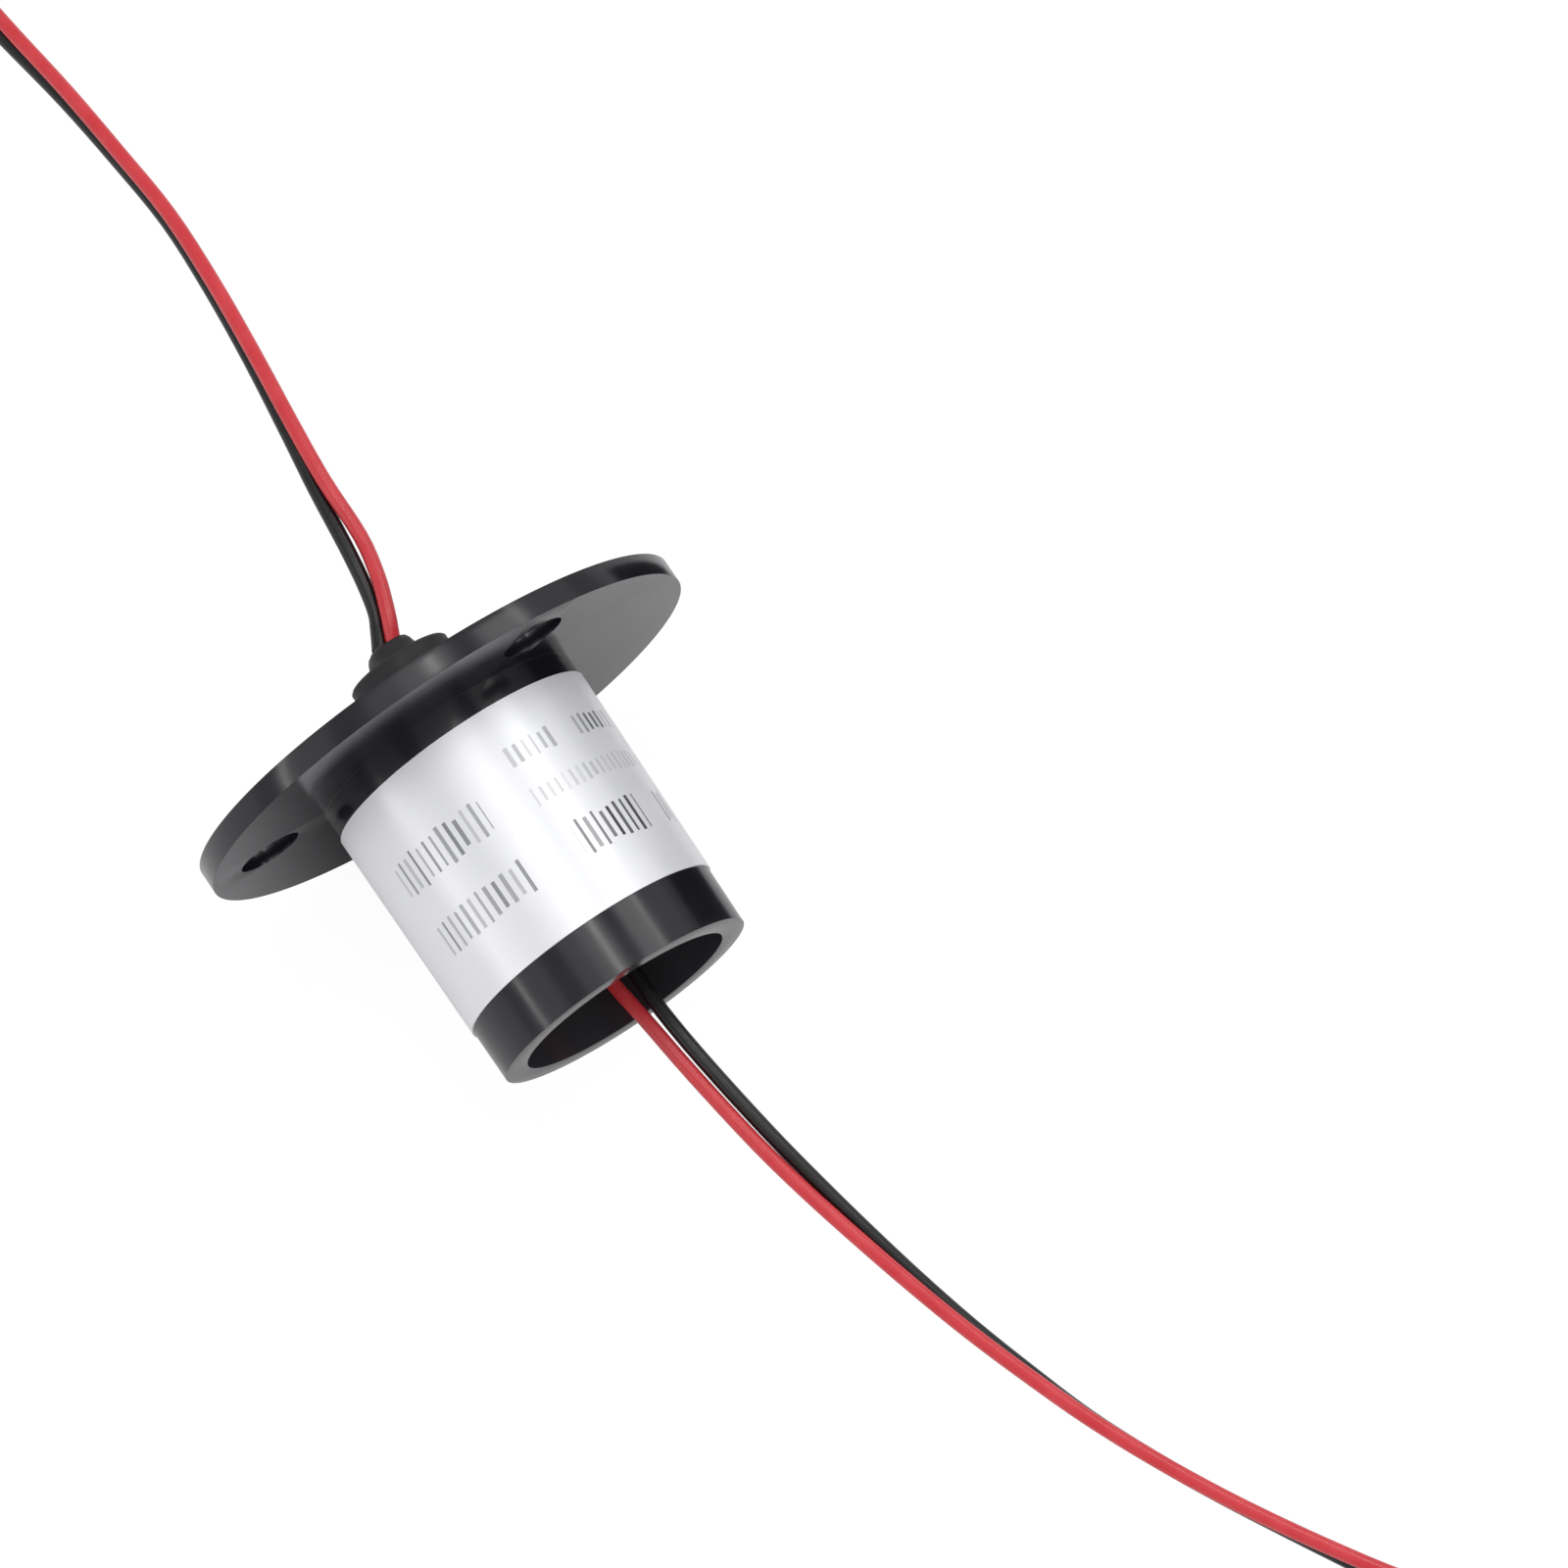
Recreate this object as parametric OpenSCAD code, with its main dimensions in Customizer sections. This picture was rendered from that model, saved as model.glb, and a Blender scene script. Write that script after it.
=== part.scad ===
// Two-circuit capsule slip ring with a round flange and flying leads.
// The rotation axis is X. The origin is the centre of the flange's seating face, on the barrel side.
// The rotor hub points to -X, the open end of the barrel to +X, and Z is up.

/* [Flange] */
// Diameter of the flange
flange_d = 24.8; // [22:0.1:30]
// Thickness of the flange
flange_t = 1.1; // [0.9:0.1:2]
// Diameter of the circle through the fixing holes
hole_circle_d = 18.8; // [18:0.1:20]
// Diameter of a fixing hole
hole_d = 3; // [2:0.1:3.2]

/* [Barrel] */
// Length of the barrel from the flange to the open end
barrel_l = 14.3; // [14:0.1:20]
// Diameter of the barrel at the flange
barrel_root_d = 12.9; // [12.6:0.1:13.5]
// Diameter of the barrel at the open end, smaller by the moulding draft
barrel_end_d = 12.6; // [12:0.1:12.9]
// Diameter of the bore
bore_d = 10.3; // [10.3:0.1:10.6]

/* [Label] */
// Distance from the flange to the label
label_x = 1.3; // [0.5:0.1:3]
// Width of the label along the axis
label_l = 10.45; // [6:0.05:11]
// Thickness of the label
label_t = 0.08; // [0.04:0.01:0.2]
// How far the label reaches round the barrel, in degrees
label_wrap = 330; // [180:5:350]

/* [Rotor hub] */
// Diameter of the rotor shaft, which stands out through the flange
hub_d = 5; // [5:0.1:5]
// Height of the hub above the back of the flange
hub_h = 2.95; // [1.5:0.05:6]

/* [Leads] */
// Diameter of a lead over its insulation
lead_d = 0.7; // [0.6:0.02:0.72]
// Diameter of the bare tinned end of a lead
tip_d = 0.4; // [0.3:0.05:0.5]

/* [Hidden] */

$fn = 96;
eps = 0.01;

black_plastic = "#1c1c1f";
bearing_steel = "#c9ccd1";
insulation_red = "#c82c32";
insulation_black = "#242424";
tinned_copper = "#cfd0cc";

// Housing
flange_edge_r = 0.12;
root_fillet = 0.15;
lip_t = 0.4;
lip_bore_r = 3.3;
front_wall_x = 1.5;
hub_tip_x = -flange_t - hub_h;
floor_z = -flange_d / 2;

// Ball bearings: bore radius, outer radius, width, ball radius, number of balls, first face along the axis
front_bearing = [hub_d / 2, 4, 2, 0.5, 9, lip_t - flange_t];
rear_bearing = [1.5, 3, 2, 0.4, 7, 8.8];
race_wall = 0.45;
ball_gap = 0.03;
cage_gap = 0.09;

// Ring stack
core_r = 1.8;
ring_r = 2.5;
ring_w = 1.4;
groove_r = 0.3;
barrier_r = 3;
barrier_w = 0.7;
shoulder_r = 2.9;
stack_x = 2.3;
ring_1_x = stack_x + barrier_w;
ring_2_x = ring_1_x + ring_w + barrier_w;
stack_end_x = ring_2_x + ring_w + barrier_w;
lead_bore_r = 0.8;
lead_bore_end_x = 6.3;
terminal_r = 0.2;

// Brushes
board_z = -4.45;
board_t = 0.4;
board_w = 5;
board_x = 2.6;
brush_d = 0.25;
brush_y = ring_r - groove_r + brush_d / 2 + 0.025;
brush_top_z = 1;
brush_foot = [0.5, board_w, 0.2];

// Rear end
carrier_back_x = 11.4;
potting_face_x = 12;
solder_x = 7.4;
solder_r = 0.4;
inner_lead_x = solder_x + solder_r;

// Where the leads leave the two potted ends
hub_potting_h = 0.95;
rotor_exit_x = hub_tip_x - hub_potting_h;
stator_exit_z = board_z + board_t + lead_d / 2;

// Loose coils of lead: the turns are a lead and a little apart, in two layers
turn_pitch = 0.72;
coil_r = 4;
layer_turns = 3.75;
coil_out_r = coil_r + turn_pitch * layer_turns / 2;
coil_in_r = coil_r - turn_pitch * layer_turns / 2;
coil_layers = 2;
tie_t = 0.2;
tie_w = 1.2;
coil_z = floor_z + tie_t;
coil_h = coil_layers * turn_pitch;
tail_l = 4;
tip_l = 3;
tail_drop = 8.5;

// Route of each pair of leads: point on the middle line, angle of the red lead about it, half the spacing.
// At 0 the red lead is beside the black one on the +Y side, at 90 above it, at 180 on the -Y side.
rotor_pair = [
    [[-5, 0, 0], 0, 0.36],
    [[-5.8, 0.4, 0], 36, 0.36],
    [[-6.6, 0.74, 0], 42, 0.36],
    [[-8, 1.12, -0.1], 26, 0.38],
    [[-10, 1.45, -0.3], 14, 0.4],
    [[-13, 1.65, -0.6], 48, 0.36],
    [[-16, 2, -1], 64, 0.36],
    [[-20, 2.5, -1.8], 72, 0.36],
    [[-24, 2.9, -2.8], 75, 0.36],
    [[-28, 3.1, -3.8], 77, 0.36],
    [[-32, 2.9, -5], 76, 0.36],
    [[-36, 2.6, -6.2], 70, 0.36],
    [[-40, 2.2, -7.8], 60, 0.36],
    [[-44, 1.8, -9.3], 40, 0.36],
    [[-48, 1.4, -10.8], 15, 0.4]
];
stator_pair = [
    [[12, 0.9, -3.7], 180, 0.6],
    [[13, 0.95, -3.7], 180, 0.53],
    [[15, 1.1, -3.7], 180, 0.41],
    [[18, 1.45, -3.8], 180, 0.38],
    [[22, 2.1, -4.2], 175, 0.37],
    [[25, 2.75, -4.7], 162, 0.36],
    [[28, 3.5, -5.2], 144, 0.36],
    [[31, 4.35, -5.9], 131, 0.36],
    [[34, 5.3, -6.6], 121, 0.36],
    [[37, 6.4, -7.3], 112, 0.36],
    [[40, 7.6, -8], 103, 0.36],
    [[43, 9.05, -8.7], 100, 0.36],
    [[46, 10.7, -9.4], 98, 0.36],
    [[49, 12.5, -10], 92, 0.36],
    [[52, 14.4, -10.6], 78, 0.36],
    [[55, 16.3, -11.1], 45, 0.36],
    [[57.8, 17.7, -11.5], 20, 0.36],
    [[60.5, 18.5, -11.7], 0, 0.42]
];

// Where each lead enters its coil: point, heading in degrees, side of the heading that the coil lies on
coil_entry_z = coil_z + turn_pitch / 2;
rotor_red_entry = [[-52, 1.9, coil_entry_z], 180, -1];
rotor_black_entry = [[-52, 0.4, coil_entry_z], 180, 1];
stator_red_entry = [[63.5, 19.2, coil_entry_z], 0, 1];
stator_black_entry = [[63.5, 18.1, coil_entry_z], 0, -1];

// Vector functions
function unit(v) = v / norm(v);
function point_at(route, i) = route[max(0, min(len(route) - 1, i))];
function tangent(route, i) = unit(point_at(route, i + 1) - point_at(route, i - 1));

// The route of one lead of a pair. way is 1 for a pair that runs to +X and -1 for one that runs to -X,
// and colour_side is 1 for the red lead and -1 for the black one.
function lead_route(pair, entry, way, colour_side) =
    let (middle = [for (station = pair) station[0]])
    [
        for (i = [0:len(pair) - 1])
            let (
                along = i == 0 ? [way, 0, 0] : tangent(middle, i),
                beside = way * unit([-along.y, along.x, 0]),
                above = way * cross(along, beside),
                turn = pair[i][1]
            )
            middle[i] + colour_side * pair[i][2] * (cos(turn) * beside + sin(turn) * above),
        entry[0]
    ];

function coil_centre(entry) =
    let (heading = entry[1], point = entry[0])
    [
        point.x - entry[2] * coil_out_r * sin(heading),
        point.y + entry[2] * coil_out_r * cos(heading)
    ];

// Helpers

// Turns a shape made about Z so that its Z lies along +X
module along_x(x = 0) {
    translate([x, 0, 0]) rotate([0, 90, 0]) children();
}

// Ring about X from inner radius r1 to outer radius r2, between x and x + w
module ring_x(r1, r2, x, w) {
    along_x(x)
        difference() {
            cylinder(r = r2, h = w);
            translate([0, 0, -1]) cylinder(r = r1, h = w + 2);
        }
}

// Tube of eight sides along a list of points. The first ring faces along start.
module tube(route, r, start) {
    sides = 8;
    last = len(route) - 1;
    points = [
        for (i = [0:last])
            let (
                along = i == 0 ? start : tangent(route, i),
                beside = unit(cross(along, [0, 0, 1])),
                above = cross(beside, along)
            )
            for (k = [0:sides - 1])
                let (angle = 360 * (k + 0.5) / sides)
                route[i] + r * (cos(angle) * beside + sin(angle) * above)
    ];
    walls = [
        for (i = [0:last - 1])
            for (k = [0:sides - 1])
                let (next = (k + 1) % sides)
                for (half = [0, 1])
                    half == 0
                        ? [i * sides + k, i * sides + next, (i + 1) * sides + next]
                        : [i * sides + k, (i + 1) * sides + next, (i + 1) * sides + k]
    ];
    first_cap = [for (k = [0:sides - 1]) sides - 1 - k];
    last_cap = [for (k = [0:sides - 1]) last * sides + k];
    polyhedron(points, concat(walls, [first_cap, last_cap]));
}

// Straight end of a lead past its coil, from distance d1 to d2 along it. It leaves the top layer opposite
// the place where the lead enters, and points back the way the lead came.
module lead_end(entry, d1, d2, r) {
    centre = coil_centre(entry);
    translate([2 * centre.x - entry[0].x, 2 * centre.y - entry[0].y, entry[0].z + turn_pitch])
        rotate([0, 90 + tail_drop, entry[1] + 180])
            translate([0, 0, d1]) cylinder(r = r, h = d2 - d1, $fn = 48);
}

module lead(pair, entry, way, colour_side) {
    tube(lead_route(pair, entry, way, colour_side), lead_d / 2, [way, 0, 0]);
    lead_end(entry, 0, tail_l, lead_d / 2);
}

module lead_tip(entry) {
    lead_end(entry, tail_l, tail_l + tip_l, tip_d / 2);
}

module coil(entry) {
    centre = coil_centre(entry);
    half = turn_pitch / 2;
    translate([centre.x, centre.y, coil_z])
        rotate_extrude()
            translate([coil_in_r - half, 0]) square([coil_out_r - coil_in_r + turn_pitch, coil_h]);
}

// Band round the turns of a coil, at the end of the coil that the lead runs towards
module coil_tie(entry) {
    centre = coil_centre(entry);
    half = turn_pitch / 2;
    inner = coil_in_r - half - 0.1;
    outer = coil_out_r + half;
    translate([centre.x, centre.y, floor_z])
        rotate([0, 0, entry[1]])
            difference() {
                translate([inner - tie_t, -tie_w / 2, 0])
                    cube([outer - inner + 2 * tie_t, tie_w, coil_h + 2 * tie_t]);
                translate([inner, -tie_w, tie_t]) cube([outer - inner, 2 * tie_w, coil_h]);
            }
}

// Bearing parts. b is one of the bearing lists above.
function pitch_r(b) = (b[0] + b[1]) / 2;

module bearing_ring(b, inner) {
    r1 = inner ? b[0] : b[1] - race_wall;
    along_x(b[5])
        rotate_extrude()
            difference() {
                translate([r1, 0]) square([race_wall, b[2]]);
                translate([pitch_r(b), b[2] / 2]) circle(r = b[3] + ball_gap);
            }
}

module bearing_balls(b, r) {
    for (i = [0:b[4] - 1])
        translate([b[5] + b[2] / 2, 0, 0])
            rotate([i * 360 / b[4], 0, 0]) translate([0, 0, pitch_r(b)]) sphere(r = r, $fn = 48);
}

module bearing_cage(b) {
    r1 = b[0] + race_wall + cage_gap;
    r2 = b[1] - race_wall - cage_gap;
    w = 2 * b[3] + 0.4;
    difference() {
        ring_x(r1, r2, b[5] + (b[2] - w) / 2, w);
        bearing_balls(b, b[3] + ball_gap);
    }
}

// Stator

module housing() {
    color(black_plastic)
        difference() {
            along_x()
                rotate_extrude()
                    polygon([
                        [lip_bore_r, -flange_t],
                        [flange_d / 2 - flange_edge_r, -flange_t],
                        [flange_d / 2, flange_edge_r - flange_t],
                        [flange_d / 2, -flange_edge_r],
                        [flange_d / 2 - flange_edge_r, 0],
                        [barrel_root_d / 2 + root_fillet, 0],
                        [barrel_r(root_fillet), root_fillet],
                        [barrel_end_d / 2, barrel_l],
                        [bore_d / 2, barrel_l],
                        [bore_d / 2, front_wall_x],
                        [front_bearing[1], front_wall_x],
                        [front_bearing[1], lip_t - flange_t],
                        [lip_bore_r, lip_t - flange_t]
                    ]);
            for (angle = [30, 150, 270])
                rotate([-angle, 0, 0])
                    translate([0, 0, hole_circle_d / 2])
                        along_x(-flange_t - 1) cylinder(d = hole_d, h = flange_t + 2, $fn = 64);
        }
}

function barrel_r(x) = (barrel_root_d + (barrel_end_d - barrel_root_d) * x / barrel_l) / 2;

// The open part of the wrap is underneath
module label() {
    label_end_x = label_x + label_l;
    gap = 360 - label_wrap;
    color("#e4e5ea")
        difference() {
            along_x()
                rotate_extrude()
                    polygon([
                        [barrel_r(label_x), label_x],
                        [barrel_r(label_x) + label_t, label_x],
                        [barrel_r(label_end_x) + label_t, label_end_x],
                        [barrel_r(label_end_x), label_end_x]
                    ]);
            along_x(label_x - 1)
                linear_extrude(label_l + 2)
                    polygon([
                        [0, 0],
                        [barrel_root_d, barrel_root_d * tan(gap / 2)],
                        [barrel_root_d, -barrel_root_d * tan(gap / 2)]
                    ]);
        }
}

module front_bearing_outer_ring() {
    color(bearing_steel) bearing_ring(front_bearing, false);
}

module rear_bearing_outer_ring() {
    color(bearing_steel) bearing_ring(rear_bearing, false);
}

module rear_bearing_carrier() {
    rear_x = rear_bearing[5];
    pocket_l = rear_bearing[2];
    color("#303034")
        difference() {
            along_x(rear_x) cylinder(d = bore_d, h = carrier_back_x - rear_x);
            along_x(rear_x - 1) cylinder(r = rear_bearing[1], h = pocket_l + 1);
            for (side = [-1, 1])
                translate([0, stator_pair[0][0].y + side * stator_pair[0][2], stator_exit_z])
                    along_x(rear_x - 1) cylinder(d = lead_d + 0.1, h = 5, $fn = 48);
        }
}

module brush_board() {
    color("#2f6b3c")
        translate([board_x, -board_w / 2, board_z]) cube([rear_bearing[5] - board_x, board_w, board_t]);
}

// Two spring wires that run in one ring's groove, on a common foot
module brush_pair(x) {
    top = board_z + board_t;
    color("#d8b65a") {
        translate([x - brush_foot.x / 2, -brush_foot.y / 2, top]) cube(brush_foot);
        for (side = [-1, 1])
            translate([x, side * brush_y, top + eps])
                cylinder(d = brush_d, h = brush_top_z - top - eps, $fn = 32);
    }
}

module brush_pair_1() {
    brush_pair(ring_1_x + ring_w / 2);
}

module brush_pair_2() {
    brush_pair(ring_2_x + ring_w / 2);
}

module stator_solder_joints() {
    color(tinned_copper)
        for (side = [-1, 1])
            translate([solder_x, stator_pair[0][0].y + side * stator_pair[0][2], board_z + board_t])
                cylinder(r = solder_r, h = 0.5, $fn = 48);
}

module stator_inner_lead(side) {
    translate([0, stator_pair[0][0].y + side * stator_pair[0][2], stator_exit_z])
        along_x(inner_lead_x) cylinder(d = lead_d, h = potting_face_x - inner_lead_x, $fn = 48);
}

module stator_lead_red_inner() {
    color(insulation_red) stator_inner_lead(-1);
}

module stator_lead_black_inner() {
    color(insulation_black) stator_inner_lead(1);
}

module stator_end_potting() {
    color("#161617")
        difference() {
            along_x(carrier_back_x) cylinder(d = bore_d, h = potting_face_x - carrier_back_x);
            stator_inner_lead(-1);
            stator_inner_lead(1);
        }
}

module stator_lead_red() {
    color(insulation_red) lead(stator_pair, stator_red_entry, 1, 1);
}

module stator_lead_black() {
    color(insulation_black) lead(stator_pair, stator_black_entry, 1, -1);
}

module stator_coil_red() {
    color(insulation_red) coil(stator_red_entry);
}

module stator_coil_black() {
    color(insulation_black) coil(stator_black_entry);
}

module stator_tie_red() {
    color("#e8e8e8") coil_tie(stator_red_entry);
}

module stator_tie_black() {
    color("#e8e8e8") coil_tie(stator_black_entry);
}

module stator_tip_red() {
    color(tinned_copper) lead_tip(stator_red_entry);
}

module stator_tip_black() {
    color(tinned_copper) lead_tip(stator_black_entry);
}

// Rotor

module rotor_spindle() {
    chamfer = 0.1;
    front_face_x = front_bearing[5];
    clip_groove_w = 0.3;
    clip_groove_r = 2.2;
    shoulder_x = front_face_x + front_bearing[2];
    rear_x = rear_bearing[5];
    color("#232326")
        difference() {
            along_x()
                rotate_extrude()
                    polygon([
                        [0, hub_tip_x],
                        [hub_d / 2 - chamfer, hub_tip_x],
                        [hub_d / 2, hub_tip_x + chamfer],
                        [hub_d / 2, front_face_x - clip_groove_w],
                        [clip_groove_r, front_face_x - clip_groove_w],
                        [clip_groove_r, front_face_x],
                        [hub_d / 2, front_face_x],
                        [hub_d / 2, shoulder_x],
                        [shoulder_r, shoulder_x],
                        [shoulder_r, stack_x],
                        [core_r, stack_x],
                        [core_r, rear_x],
                        [rear_bearing[0], rear_x],
                        [rear_bearing[0], rear_x + rear_bearing[2] - 0.1],
                        [0, rear_x + rear_bearing[2] - 0.1]
                    ]);
            along_x(hub_tip_x - 1) cylinder(r = lead_bore_r, h = lead_bore_end_x - hub_tip_x + 1);
            translate([ring_1_x + ring_w / 2, 0, 0])
                rotate([-90, 0, 0]) cylinder(r = terminal_r, h = core_r + 1, $fn = 32);
            translate([ring_2_x + ring_w / 2, 0, 0])
                rotate([90, 0, 0]) cylinder(r = terminal_r, h = core_r + 1, $fn = 32);
        }
}

module barrier(x) {
    color("#e9e4d4") ring_x(core_r, barrier_r, x, barrier_w);
}

module barrier_front() {
    barrier(stack_x);
}

module barrier_middle() {
    barrier(ring_1_x + ring_w);
}

module barrier_rear() {
    barrier(ring_2_x + ring_w);
}

// Contact ring with a round groove that the brush wires run in
module ring_track(x) {
    color("#d9a93c")
        along_x(x)
            rotate_extrude()
                difference() {
                    translate([core_r, 0]) square([ring_r - core_r, ring_w]);
                    translate([ring_r, ring_w / 2]) circle(r = groove_r);
                }
}

module ring_track_1() {
    ring_track(ring_1_x);
}

module ring_track_2() {
    ring_track(ring_2_x);
}

module stack_lock_ring() {
    color(bearing_steel) ring_x(core_r, core_r + 0.5, stack_end_x, 0.4);
}

// Open clip in the shaft's groove, which holds the shaft against the front bearing
module front_retaining_clip() {
    clip_t = 0.3;
    opening = 2.6;
    color(bearing_steel)
        difference() {
            ring_x(2.2, 3.05, front_bearing[5] - clip_t, clip_t);
            translate([-2, -opening / 2, 0]) cube([3, opening, 5]);
        }
}

module front_bearing_inner_ring() {
    color(bearing_steel) bearing_ring(front_bearing, true);
}

module rear_bearing_inner_ring() {
    color(bearing_steel) bearing_ring(rear_bearing, true);
}

module rotor_inner_lead(side, end_x) {
    along_x(rotor_exit_x)
        translate([0, side * rotor_pair[0][2], 0]) cylinder(d = lead_d, h = end_x - rotor_exit_x, $fn = 48);
}

module rotor_lead_red_inner() {
    color(insulation_red) rotor_inner_lead(1, ring_1_x + ring_w / 2 - terminal_r);
}

module rotor_lead_black_inner() {
    color(insulation_black) rotor_inner_lead(-1, ring_2_x + ring_w / 2 - terminal_r);
}

// Small cone of resin round the leads on the hub
module hub_potting() {
    color("#161617")
        difference() {
            along_x(rotor_exit_x) cylinder(r1 = 0.95, r2 = 1.3, h = hub_potting_h);
            rotor_inner_lead(1, 0);
            rotor_inner_lead(-1, 0);
        }
}

// Tinned conductors that join each lead to its ring
module ring_terminals() {
    color(tinned_copper) {
        translate([ring_1_x + ring_w / 2, 0.1, 0])
            rotate([-90, 0, 0]) cylinder(r = terminal_r, h = core_r - 0.12, $fn = 32);
        translate([ring_2_x + ring_w / 2, -0.1, 0])
            rotate([90, 0, 0]) cylinder(r = terminal_r, h = core_r - 0.12, $fn = 32);
    }
}

module rotor_lead_red() {
    color(insulation_red) lead(rotor_pair, rotor_red_entry, -1, 1);
}

module rotor_lead_black() {
    color(insulation_black) lead(rotor_pair, rotor_black_entry, -1, -1);
}

module rotor_coil_red() {
    color(insulation_red) coil(rotor_red_entry);
}

module rotor_coil_black() {
    color(insulation_black) coil(rotor_black_entry);
}

module rotor_tie_red() {
    color("#e8e8e8") coil_tie(rotor_red_entry);
}

module rotor_tie_black() {
    color("#e8e8e8") coil_tie(rotor_black_entry);
}

module rotor_tip_red() {
    color(tinned_copper) lead_tip(rotor_red_entry);
}

module rotor_tip_black() {
    color(tinned_copper) lead_tip(rotor_black_entry);
}

// Bearing cages and balls

module front_bearing_cage() {
    color("#b08d57") bearing_cage(front_bearing);
}

module front_bearing_balls() {
    color(bearing_steel) bearing_balls(front_bearing, front_bearing[3]);
}

module rear_bearing_cage() {
    color("#b08d57") bearing_cage(rear_bearing);
}

module rear_bearing_balls() {
    color(bearing_steel) bearing_balls(rear_bearing, rear_bearing[3]);
}

housing();
label();
front_bearing_outer_ring();
rear_bearing_outer_ring();
rear_bearing_carrier();
brush_board();
brush_pair_1();
brush_pair_2();
stator_solder_joints();
stator_lead_red_inner();
stator_lead_black_inner();
stator_end_potting();
stator_lead_red();
stator_coil_red();
stator_tie_red();
stator_tip_red();
stator_lead_black();
stator_coil_black();
stator_tie_black();
stator_tip_black();
rotor_lead_red();
rotor_coil_red();
rotor_tie_red();
rotor_tip_red();
rotor_lead_black();
rotor_coil_black();
rotor_tie_black();
rotor_tip_black();
rotor_spindle();
barrier_front();
ring_track_1();
barrier_middle();
ring_track_2();
barrier_rear();
stack_lock_ring();
front_retaining_clip();
front_bearing_inner_ring();
rear_bearing_inner_ring();
hub_potting();
rotor_lead_red_inner();
rotor_lead_black_inner();
ring_terminals();
front_bearing_cage();
front_bearing_balls();
rear_bearing_cage();
rear_bearing_balls();
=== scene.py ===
# %% [markdown]
# # A two-wire capsule slip ring
#
# A slip ring carries current between a part that stands still and a part that turns. This one is small: a black
# moulded barrel of about 13 mm with a round flange that is screwed to the machine, a silver label wrapped round it,
# a hub that turns in the flange, and a red and a black lead at each end.
#
# The solids come from the CAD model, which is loaded first. Everything made here sits in the same frame: metres, X
# along the rotation axis with the open end of the barrel at +X, and Z up. What shows most is then modelled again more
# finely, and every surface gets a material of its own.

# %% Load the model
import math

import bpy
from mathutils import Matrix, Vector, noise


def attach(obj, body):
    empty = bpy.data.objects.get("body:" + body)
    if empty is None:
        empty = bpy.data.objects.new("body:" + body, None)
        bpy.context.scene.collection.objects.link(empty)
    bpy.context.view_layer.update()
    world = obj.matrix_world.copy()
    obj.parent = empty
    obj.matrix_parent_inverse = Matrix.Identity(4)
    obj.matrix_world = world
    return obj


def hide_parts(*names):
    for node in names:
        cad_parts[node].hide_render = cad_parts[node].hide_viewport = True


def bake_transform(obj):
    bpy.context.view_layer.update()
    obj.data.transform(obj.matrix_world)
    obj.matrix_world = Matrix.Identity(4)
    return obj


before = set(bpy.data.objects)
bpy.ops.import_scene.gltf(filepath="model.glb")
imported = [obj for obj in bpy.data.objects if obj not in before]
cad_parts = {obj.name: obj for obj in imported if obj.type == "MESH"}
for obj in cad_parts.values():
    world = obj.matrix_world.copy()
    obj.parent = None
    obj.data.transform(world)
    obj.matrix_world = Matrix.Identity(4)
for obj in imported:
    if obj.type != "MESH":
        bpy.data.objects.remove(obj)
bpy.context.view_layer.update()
mm = 0.001

# %% [markdown]
# ## The camera
#
# The object lies on a table and is seen almost from above through a long lens, so its parallel edges stay nearly
# parallel. The camera has no roll: it is placed, and then turned to face along one direction with its top upwards.

# %% Camera
camera_place = Vector((0.11072, -0.05552, 0.52098))
facing = Vector((-0.188357, 0.124898, -0.974126))

bpy.ops.object.select_all(action="DESELECT")
bpy.ops.object.camera_add(location=camera_place)
camera = bpy.context.object
camera.name = "camera"
camera.rotation_euler = facing.to_track_quat("-Z", "Y").to_euler()
camera.data.sensor_width = 36
camera.data.lens = 276.92
camera.data.clip_start = 0.01
bpy.context.scene.camera = camera
print("camera at", [round(c, 4) for c in camera.location])

# %% [markdown]
# ## The leads
#
# Each lead is a thin stranded wire in glossy plastic insulation, 0.7 mm across and 250 mm long. A pair leaves the hub
# and another pair leaves the open end. The two wires of a pair run side by side and roll slowly over each other, and
# they sag to the table. The length that isn't spread out is wound into a small flat coil of two layers, held by a
# tie.
#
# A cord is best described by its middle line. The pair gets one route of points, with the angle of the red wire about
# it at each point, and each wire's own line follows from that. It would be harder to draw two
# lines by hand that stay a wire's thickness apart.

# %% Routes of the two pairs
lead_radius = 0.35
floor_z = -12.4  # the flange stands on its rim

# Point on the pair's middle line, angle of the red lead about it, half the spacing (mm and degrees)
rotor_pair = [
    ((-5, 0, 0), 0, 0.36), ((-5.8, 0.4, 0), 36, 0.36), ((-6.6, 0.74, 0), 42, 0.36), ((-8, 1.12, -0.1), 26, 0.38),
    ((-10, 1.45, -0.3), 14, 0.4), ((-13, 1.65, -0.6), 48, 0.36), ((-16, 2, -1), 64, 0.36),
    ((-20, 2.5, -1.8), 72, 0.36), ((-24, 2.9, -2.8), 75, 0.36), ((-28, 3.1, -3.8), 77, 0.36),
    ((-32, 2.9, -5), 76, 0.36), ((-36, 2.6, -6.2), 70, 0.36), ((-40, 2.2, -7.8), 60, 0.36),
    ((-44, 1.8, -9.3), 40, 0.36), ((-48, 1.4, -10.8), 15, 0.4),
]
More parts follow.
